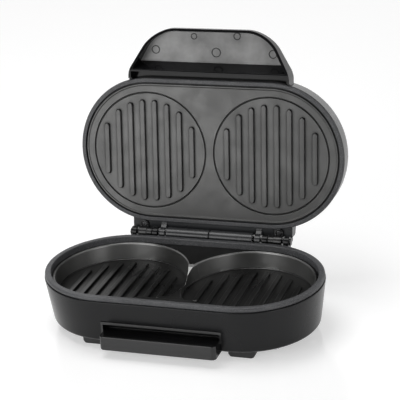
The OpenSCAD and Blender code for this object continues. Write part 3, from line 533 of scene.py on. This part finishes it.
def makeLowerPlate():
    p = lowerPlate
    land = p["top"] - p["landDrop"]
    islandHalf = half - math.sqrt(p["wellRadius"] ** 2 - p["landY"] ** 2)
    body = sweepRacetrack([(0, p["top"] - p["thick"]), (p["radius"], p["top"] - p["thick"]),
                           (p["radius"], p["top"], 0.5), (0, p["top"])])
    under = p["floor"] - p["thick"]
    bowl = peg([(0, under), (p["floorRadius"] + 1.6, under, p["bowlCorner"]),
                (p["wellRadius"] + p["thick"], p["top"] - 1), (0, p["top"] - 1)], steps=96, roundness=6)
    well = peg([(0, p["floor"]), (p["floorRadius"], p["floor"], p["corner"]),
                (p["wellRadius"], p["top"] - p["lip"], 0.5), (p["wellRadius"] + p["lip"], p["top"] + 0.02),
                (p["wellRadius"] + p["lip"], p["top"] + 2), (0, p["top"] + 2)], steps=96, roundness=6)
    trench = across([(-p["landY"], p["top"] + 1), (-p["landY"], land + p["stepHeight"], 1.0),
                     (-p["stepY"], land + p["stepHeight"], 0.5), (-p["stepY"] + 1, land, 0.6), (0, land, 3),
                     (p["noseY"], p["top"]), (p["noseY"], p["top"] + 1)],
                    -islandHalf - 2, 2 * islandHalf + 4, 0)
    neckBlock = box((-islandHalf, -p["landY"] - p["thick"], p["blockBottom"]),
                    (islandHalf, p["noseY"] + p["thick"], p["blockTop"]))
    plate = worked(body, *(("UNION", part) for part in (*bothCircles(bowl), neckBlock)),
                   *(("DIFFERENCE", part) for part in (*bothCircles(well), trench)))
    return together(plate, *bothCircles(makeRidges(p["floor"], 1)),
                    *posts(platePost["spots"], platePost["radius"], p["blockBottom"], p["blockTop"]),
                    *posts(platePost["thinSpots"], platePost["thinRadius"], *p["thinPost"]))


def isPaintedPlateShade(face):
    # painted light and shade: the wells' walls are painted lighter as a painted reflection, everything else
    # darker as painted shade
    spot = basePlace.inverted() @ face.calc_center_median()
    reach = math.hypot(abs(spot.x) - half, spot.y)
    return not (lowerPlate["floorRadius"] - 0.9 < reach < lowerPlate["wellRadius"] + 1
                and spot.z > lowerPlate["floor"] + 1.3)


finishPiece("lowerPlate", makeLowerPlate(), "base", [plateWallPaintedLight, plateRestPaintedShade], "lower_plate",
            isPaintedPlateShade)
print("lower plate made")

# upper plate: raised edge, fine round grooves, ridges
upperPlate = {"face": 56.5, "back": 59, "radius": 65.5, "flange": 66.6, "flangeDepth": 1.7, "lipWidth": 1.4,
              "lipHeight": 0.5, "lipSlope": 0.6, "groove": 56.8, "grooveWidth": 1.3, "grooveDepth": 1.0,
              "postRoot": 57.5, "postEnd": 61.5, "thinEnd": 68.2}


def makeUpperPlate():
    p = upperPlate
    face, lip, centre, width = p["face"], p["radius"] - p["lipWidth"], p["groove"], p["grooveWidth"]
    body = sweepRacetrack([
        (0, face), (lip - p["lipSlope"], face, 0.3), (lip, face - p["lipHeight"], 0.3),
        (p["radius"], face - p["lipHeight"], 0.5), (p["radius"], face + p["flangeDepth"]),
        (p["flange"], face + p["flangeDepth"]), (p["flange"], p["back"]), (0, p["back"])])
    groove = peg([(centre - width, face - 0.6), (centre + width, face - 0.6),
                  (centre + width * 0.6, face + 0.2), (centre + 0.2, face + p["grooveDepth"]),
                  (centre - 0.2, face + p["grooveDepth"]), (centre - width * 0.6, face + 0.2)], steps=128)
    return together(cutBy(body, *bothCircles(groove)), *bothCircles(makeRidges(face, -1)),
                    *posts(platePost["spots"], platePost["radius"], p["postEnd"], p["postRoot"]),
                    *posts(platePost["thinSpots"], platePost["thinRadius"], p["thinEnd"], p["postRoot"]))


# painted shade: the plate's outer side and flange at the gap take the dark matte finish
def isPlateEdgePaintedShade(face):
    return trackReach(face, lidPlace) > upperPlate["radius"] - 0.05


finishPiece("upperPlate", makeUpperPlate(), "lid", [plateUpper, coverMatte], "upper_plate",
            isPlateEdgePaintedShade)
print("upper plate made")

# lid shell with hinge tabs, pads over the arms, and the hood that covers the barrel from above and behind
lidShell = {"radius": 71.3, "topRadius": 69.8, "bottom": 57.5, "top": 85, "edge": 9, "wall": 2.5}
lidTab = {"x": 45.6, "width": 5.5,
          "outline": ((70.3, 57.5), (73.3, 57.5, 0.8), (76.8, 54.5, 1), (76.8, 48.4, 5.1), (87.2, 48.4, 5.1),
                      (87.2, 58.7, 5.1), (80, 60.5, 3), (72.5, 64.5, 1), (70.3, 64.5))}
lidPad = {"x": 61.6, "width": 19.5, "outline": ((59.5, 59.2), (79, 59.2, 0.5), (79, 70.2, 2), (59.5, 77.2))}
hood = {"half": 62.6, "outline": ((70.3, 58), (75.3, 58.4, 1.5), (79.4, 60.4, 0.4), (79.4, 62.3, 0.6),
                                  (70.3, 65))}
lidPost = {"radius": 4, "spots": [(x, y) for x in (-36, 36) for y in (-58.9, 58.9)], "end": 63.5,
           "root": 83.5}


def makeLidShell():
    s = lidShell
    w = s["wall"]
    shell = sweepRacetrack([
        (0, s["top"]), (s["topRadius"], s["top"], s["edge"]), (s["radius"], s["bottom"], 0.6),
        (s["radius"] - w, s["bottom"]), (s["topRadius"] - w, s["top"] - w, s["edge"] - w),
        (0, s["top"] - w)], 8)
    tab = across(lidTab["outline"], lidTab["x"], lidTab["width"], 0.5)
    pad = across(lidPad["outline"], lidPad["x"], lidPad["width"], 0.6)
    return together(shell, mirrored(together(tab, pad)),
                    across(hood["outline"], -hood["half"], 2 * hood["half"], 0.3),
                    *posts(lidPost["spots"], lidPost["radius"], lidPost["end"], lidPost["root"]))


finishPiece("lidShell", makeLidShell(), "lid", [lidGloss], "lid_shell")
print("lid shell made")

# lid handle: a hollow D whose underside rises to the front, with ejector marks on its floor
lidHandle = {"front": 118.3, "halfWidth": 80, "cornerX": 36, "cornerRadius": 36, "slope": math.radians(60),
             "bottom": 53.5, "top": 73.5, "rise": 0.294, "riseFrom": 78.5, "ceiling": 70, "wall": 2.5,
             "root": 65.8, "crown": 3, "fillet": 1.2, "pocketLow": 78.8, "pocketHigh": 85.6,
             "slotBack": 68.5, "slotFront": 77.5, "slotTop": 64.5,
             "floorHalf": 78, "floorBack": 80,
             "marks": ((-57, 96.7, 4.0), (4, 95.6, 4.5), (60, 95.6, 4.0), (-18, 110.5, 3.0),
                       (25, 111.7, 3.5)),
             "lidSection": ((0, 40), (73, 40), (73, 55.9), (71.45, 55.9), (71.45, 57.5), (69.95, 76),
                            (69.95, 90), (0, 90))}


def handleOutline(inset, root):
    h = lidHandle
    steep = math.tan(h["slope"])
    front, side = h["front"] - inset, h["halfWidth"] - inset
    cut = (h["cornerRadius"] - inset) * math.tan(h["slope"] / 2)
    corner = h["cornerX"] + cut
    flank = front - (side - corner) * steep
    if flank < root:  # the flanks run straight into the root
        side = corner + (front - root) / steep
        return [(-side, -root, 1.0), (-corner, -front, cut), (corner, -front, cut), (side, -root, 1.0)]
    return [(-side, -root), (-side, -flank, 5), (-corner, -front, cut), (corner, -front, cut),
            (side, -flank, 5), (side, -root)]


def edgesAt(bm, z):
    return [e for e in bm.edges if all(abs(v.co.z - z) < 0.01 for v in e.verts) and e.is_manifold]


def isMouth(vert):
    h = lidHandle
    under = h["bottom"] + max(0, -vert.co.y - h["riseFrom"]) * h["rise"]
    return vert.co.y < -h["slotFront"] - 0.5 and abs(vert.co.z - under) < 0.05


def makeLidHandle():
    h = lidHandle
    inside = h["halfWidth"] - h["wall"]
    body = upright(handleOutline(0, h["root"]), h["bottom"], h["top"] - h["bottom"], 0, 16)
    roundEdges(body, edgesAt(body, h["top"]), h["crown"], 5, False)
    far = 130
    under = across([(-far, h["bottom"] - 5), (-h["riseFrom"], h["bottom"] - 5), (-h["riseFrom"], h["bottom"]),
                    (-far, h["bottom"] + h["rise"] * (far - h["riseFrom"]))], -90, 180, 0)
    pocket = upright(handleOutline(h["wall"], h["pocketLow"]), h["bottom"] - 2,
                     h["ceiling"] - h["bottom"] + 2, 0, 16)
    # the pocket's wall at the root leans
    for vert in pocket.verts:
        if vert.co.z > h["ceiling"] - 0.1 and vert.co.y > -h["pocketHigh"]:
            vert.co.x -= math.copysign((h["pocketHigh"] + vert.co.y) / math.tan(h["slope"]), vert.co.x)
            vert.co.y = -h["pocketHigh"]
    bmesh.ops.remove_doubles(pocket, verts=pocket.verts, dist=0.3)
    roundEdges(pocket, edgesAt(pocket, h["ceiling"]), h["fillet"], 3, False)
    slot = box((-inside, -h["slotFront"], h["bottom"] - 1), (inside, -h["slotBack"], h["slotTop"]))
    handle = cutBy(body, under, pocket, slot, sweepRacetrack(h["lidSection"]))
    mouth = [e for e in handle.edges
             if e.is_manifold and e.calc_face_angle(0) > 0.5 and all(isMouth(v) for v in e.verts)]
    roundEdges(handle, mouth, 0.45)
    rings = [peg([(r - 0.6, h["ceiling"] - 0.6), (r, h["ceiling"] - 0.6), (r + 0.2, h["ceiling"] + 0.2),
                  (r - 0.8, h["ceiling"] + 0.2)], x, -y) for x, y, r in h["marks"]]
    return together(handle, *rings)


def isHandleFloor(face):
    spot = lidPlace.inverted() @ face.calc_center_median()
    return (abs(spot.z - lidHandle["ceiling"]) < 0.4 and spot.y < -lidHandle["floorBack"]
            and abs(spot.x) < lidHandle["floorHalf"])


finishPiece("lidHandle", makeLidHandle(), "lid", [handleGloss, handleFloor], "lid_handle",
            isHandleFloor)
print("lid handle made")

# base handle: the bar, its ribs below and the liner of the finger recess
baseHandle = {"half": 55, "front": 83, "back": 62.6, "bottom": 8.5, "top": 22, "corner": 4, "bevel": 1.0,
              "wall": 2.5, "hollows": 5, "linerHalf": 57, "linerFront": 70.6, "linerBack": 56.1,
              "linerTop": 30.5, "recessTop": 28, "recessBack": 58.6, "clear": 80}


def makeBaseHandle():
    b = baseHandle
    wide, wall = b["half"], b["wall"]
    bar = upright([(-wide, -b["back"]), (-wide, -b["front"], b["corner"]), (wide, -b["front"], b["corner"]),
                   (wide, -b["back"])], b["bottom"], b["top"] - b["bottom"], b["bevel"])
    pitch = (2 * wide - wall) / b["hollows"]
    hollows = [box((-wide + wall + i * pitch, -b["front"] + wall, b["bottom"] - 1),
                   (-wide + i * pitch + pitch, -b["back"] - wall, b["top"] - wall))
               for i in range(b["hollows"])]
    liner = box((-b["linerHalf"], -b["linerFront"], b["top"] - wall),
                (b["linerHalf"], -b["linerBack"], b["linerTop"]))
    recess = box((-wide, -b["clear"], b["top"]), (wide, -b["recessBack"], b["recessTop"]))
    barRoom = box((-wide, -b["clear"], b["bottom"] + 1.5), (wide, -b["back"], b["top"] + 1))
    return together(cutBy(bar, together(*hollows)), cutBy(liner, recess, barRoom))


finishPiece("baseHandle", makeBaseHandle(), "base", [barGloss], "base_handle")
print("base handle made")

foot = {"x": 70, "y": 48, "width": 12.5, "depth": 10, "corner": 4, "top": 9, "step": 1.5,
        "padInset": 1, "padCorner": 3, "padHeight": 4, "holeRadius": 4, "holeDepth": 4}


def rectangle(x, y, corner):
    return [(-x, -y, corner), (x, -y, corner), (x, y, corner), (-x, y, corner)]


def makeFoot(sideX, sideY):
    f = foot
    pad = upright(rectangle(f["width"] - f["padInset"], f["depth"] - f["padInset"], f["padCorner"]), 0,
                  f["padHeight"], 0.8)
    block = upright(rectangle(f["width"], f["depth"], f["corner"]), f["step"], f["top"] - f["step"], 0.9)
    hole = peg([(0, -1), (f["holeRadius"], -1), (f["holeRadius"], f["holeDepth"]), (0, f["holeDepth"])])
    whole = worked(pad, ("UNION", block), ("DIFFERENCE", hole))
    whole.transform(Matrix.Translation((sideX * f["x"], sideY * f["y"], 0)))
    return whole


for sideX, nameX in ((-1, "left"), (1, "right")):
    for sideY, nameY in ((-1, "front"), (1, "rear")):
        finishPiece("foot" + nameY.capitalize() + nameX.capitalize(), makeFoot(sideX, sideY), "base",
                    [footRubber], "foot_" + nameY + "_" + nameX)
print("feet made")

# hinge: barrel halves on their feet, pins, arms and their screws; the left ones mirror the right ones
barrel = {"from": 0.4, "length": 43.2, "radius": 6.3, "passage": 3.6, "shelf": 44, "footHeight": 1.5,
          "footTop": 49.8, "footFront": 76, "footBack": 86, "stem": (79, 85)}
arm = {"x": 64.6, "width": 8, "bottom": 55.9, "seat": 59.2, "crestY": 79, "knuckle": 5.4, "hub": 59.1,
       "hubRadius": 4.8, "bore": 2.05, "screwY": 74.6, "boss": 4, "sink": 3.2, "sinkDepth": 1.8,
       "screwHole": 1.8}
armScrew = {"head": 3, "headHeight": 1.8, "shank": 1.5, "length": 8, "slotHalf": 1.9, "slotWidth": 0.7,
            "slotTop": 0.9}
pin = {"from": 44.6, "end": 80.1, "radius": 2, "head": 3.4, "headHeight": 1.5}


def makeBarrel():
    b = barrel
    end, ledge = b["from"] + b["length"], b["shelf"] + b["footHeight"]
    front, back = b["stem"]
    tube = rod([(b["passage"], b["from"], 0.3), (b["radius"], b["from"], 0.5), (b["radius"], end, 0.5),
                (b["passage"], end, 0.3)], 48)
    stand = across([(b["footFront"], b["shelf"]), (b["footBack"], b["shelf"]), (b["footBack"], ledge, 0.3),
                    (back, ledge, 0.4), (back, b["footTop"]), (front, b["footTop"]), (front, ledge, 0.4),
                    (b["footFront"], ledge)], b["from"], b["length"], 0.2)
    return together(tube, stand)


def makeArm():
    a = arm
    y, z, r = axle.y, axle.z, a["knuckle"]
    bottom, seat, screw = a["bottom"], a["seat"], (a["x"] + a["width"] / 2, a["screwY"])
    blade = across([(a["screwY"], bottom), (y - r, bottom, 0.5), (y - r, z - r, r - 0.1),
                    (y + r, z - r, r - 0.1), (y + r, seat - 0.3, r - 0.1), (a["crestY"], seat),
                    (a["screwY"], seat)], a["x"], a["width"], 0.5, 6)
    boss = peg([(0, bottom), (a["boss"], bottom, 0.5), (a["boss"], seat), (0, seat)], *screw, 40)
    sink = peg([(0, bottom - 1), (a["sink"], bottom - 1), (a["sink"], bottom + a["sinkDepth"]),
                (a["screwHole"], bottom + a["sinkDepth"]), (a["screwHole"], seat + 1), (0, seat + 1)],
               *screw, 40)
    hub = rod([(0, a["hub"]), (a["hubRadius"], a["hub"], 0.5), (a["hubRadius"], a["x"] + 1),
               (0, a["x"] + 1)], 40)
    bore = rod([(0, a["hub"] - 1), (a["bore"], a["hub"] - 1), (a["bore"], a["x"] + 10), (0, a["x"] + 10)])
    return worked(blade, ("UNION", boss), ("UNION", hub), ("DIFFERENCE", sink), ("DIFFERENCE", bore))


def makeArmScrew():
    s = armScrew
    x, y, z = arm["x"] + arm["width"] / 2, arm["screwY"], arm["bottom"] + s["headHeight"]
    screw = peg([(0, z - s["headHeight"]), (s["head"] * 0.8, z - s["headHeight"], 0.5),
                 (s["head"], z - 0.9, 0.4), (s["head"], z, 0.2), (s["shank"], z),
                 (s["shank"], z + s["length"], 0.4), (0, z + s["length"])], x, y)
    slots = []
    for a, b in ((s["slotHalf"], s["slotWidth"] / 2), (s["slotWidth"] / 2, s["slotHalf"])):
        slots.append(box((x - a, y - b, z - 3), (x + a, y + b, z - s["slotTop"])))
    return cutBy(screw, *slots)


def makePin():
    p = pin
    tip = p["end"] + p["headHeight"]
    return rod([(0, p["from"]), (p["radius"], p["from"], 0.3), (p["radius"], p["end"]),
                (p["head"], p["end"], 0.2), (p["head"], tip, 0.7), (0, tip)])


def finishPair(name, make, body, finish, stands):
    finishPiece(name + "Left", flipped(make()), body, [finish], stands + "_left")
    finishPiece(name + "Right", make(), body, [finish], stands + "_right")


finishPair("hingeBarrel", makeBarrel, "base", barrelGloss, "hinge_barrel")
finishPair("hingeArm", makeArm, "lid", armBlack, "hinge_arm")
finishPiece("armScrews", mirrored(makeArmScrew()), "lid", [blackSteel], "arm_screws")
finishPair("hingePin", makePin, "base", blackSteel, "hinge_pin")
print("hinge made")

# lamp lenses on top of the lid
lens = {"x": 9, "y": -30, "radius": 4, "collar": 5, "collarBottom": 3.5, "collarTop": 2.5, "shoulder": 0.3,
        "proud": 0.8}


def makeLens(x):
    n = lens
    top = lidShell["top"]
    return peg([(0, top - n["collarBottom"]), (n["collar"], top - n["collarBottom"], 0.2),
                (n["collar"], top - n["collarTop"], 0.2), (n["radius"], top - n["collarTop"]),
                (n["radius"], top + n["shoulder"], 0.5), (n["radius"] * 0.5, top + n["proud"], 1),
                (0, top + n["proud"])], x, n["y"], 40)


finishPiece("powerLampLens", makeLens(-lens["x"]), "lid", [lensRed], "power_lamp_lens")
finishPiece("readyLampLens", makeLens(lens["x"]), "lid", [lensGreen], "ready_lamp_lens")
print("lenses made")

# pieces that keep their loaded shape only get a finish
kept = {"bottom_cover": coverMatte, "cord_gland": coverMatte, "lower_heater": heaterSheath,
        "upper_heater": heaterSheath, "lower_reflector": reflectorSheet, "upper_reflector": reflectorSheet,
        "thermostat": ceramic, "terminal_block": ceramic, "lamp_holder": holderWhite,
        "lower_thermal_fuse": fuseCase, "upper_thermal_fuse": fuseCase}
for name, node in nodes.items():
    finish = kept.get(name) or (steel if name.endswith("_screws") else None)
    if finish and not node.hide_render:
        node.data.materials.clear()
        node.data.materials.append(finish)
print("kept pieces finished")

# floor, world and lamps
studio = {"floorSize": 8, "floorColour": (0.80, 0.80, 0.80), "floorGlow": 0.45, "floorRough": 0.12,
          "fill": 0.22, "front": 0.15, "back": 1.0, "roomFrom": -0.3, "roomTo": 0.5}
lamps = {"softboxLeft": {"at": (-0.62, -1.22, 0.42), "aim": (0, 0, 0.1), "size": (0.85, 0.8), "power": 7},
         "softboxTop": {"at": (-0.3, 0.0, 1.4), "aim": (0, 0.02, 0.05), "size": (1.0, 0.8), "power": 9},
         "softboxRight": {"at": (1.15, -0.8, 0.4), "aim": (0, 0, 0.1), "size": (0.3, 0.8), "power": 4}}


def seenDirectly(tree):
    # 1 where the camera, a reflection or a clear piece looks at it, 0 where it only gives light
    paths = addNode(tree, "ShaderNodeLightPath")
    share = paths.outputs["Is Camera Ray"]
    for ray in ("Is Glossy Ray", "Is Transmission Ray"):
        most = addNode(tree, "ShaderNodeMath", links={0: share, 1: paths.outputs[ray]})
        most.operation = "MAXIMUM"
        share = most.outputs[0]
    return share, paths


def makeFloor():
    bm = bmesh.new()
    bmesh.ops.create_grid(bm, x_segments=2, y_segments=2, size=studio["floorSize"])
    floor = asObject(bm, "floor")
    material, tree, shader = newMaterial("floorPale")
    shader.inputs["Base Color"].default_value = (*studio["floorColour"], 1)
    shader.inputs["Roughness"].default_value = studio["floorRough"]
    shader.inputs["Emission Color"].default_value = (1, 1, 1, 1)
    glow = addNode(tree, "ShaderNodeMath", {1: studio["floorGlow"]}, {0: seenDirectly(tree)[0]})
    glow.operation = "MULTIPLY"
    tree.links.new(glow.outputs[0], shader.inputs["Emission Strength"])
    floor.data.materials.append(material)


def makeWorld():
    # white where the camera looks; reflections find the white backdrop behind and a dim room in front
    world = bpy.data.worlds.new("studio")
    bpy.context.scene.world = world
    world.use_nodes = True
    tree = world.node_tree
    tree.nodes.clear()
    share, paths = seenDirectly(tree)

    def background(strength, links=None):
        return addNode(tree, "ShaderNodeBackground", {"Color": (1, 1, 1, 1), "Strength": strength}, links)

    def mix(factor, one, two):
        return addNode(tree, "ShaderNodeMixShader", links={0: factor, 1: one.outputs[0], 2: two.outputs[0]})

    place = addNode(tree, "ShaderNodeTexCoord").outputs["Generated"]
    split = addNode(tree, "ShaderNodeSeparateXYZ", links={0: place})
    room = addNode(tree, "ShaderNodeMapRange", {"From Min": studio["roomFrom"], "From Max": studio["roomTo"],
                                                "To Min": studio["front"], "To Max": studio["back"]},
                   {"Value": split.outputs["Y"]})
    room.interpolation_type = "SMOOTHSTEP"
    mirror = background(1, {"Strength": room.outputs["Result"]})
    seen = mix(paths.outputs["Is Camera Ray"], mirror, background(1))
    whole = mix(share, background(studio["fill"]), seen)
    addNode(tree, "ShaderNodeOutputWorld", links={"Surface": whole.outputs[0]})


def makeLamp(name, at, aim, size, power):
    light = bpy.data.lights.new(name, "AREA")
    light.shape = "RECTANGLE"
    light.size, light.size_y = size
    light.energy = power
    lamp = bpy.data.objects.new(name, light)
    lamp.location = at
    lamp.rotation_euler = (Vector(aim) - Vector(at)).to_track_quat("-Z", "Y").to_euler()
    lamp.visible_camera = False
    bpy.context.scene.collection.objects.link(lamp)


makeFloor()
makeWorld()
for name, lamp in lamps.items():
    makeLamp(name, **lamp)
bpy.context.scene.view_settings.view_transform = "Standard"
print("studio lit")
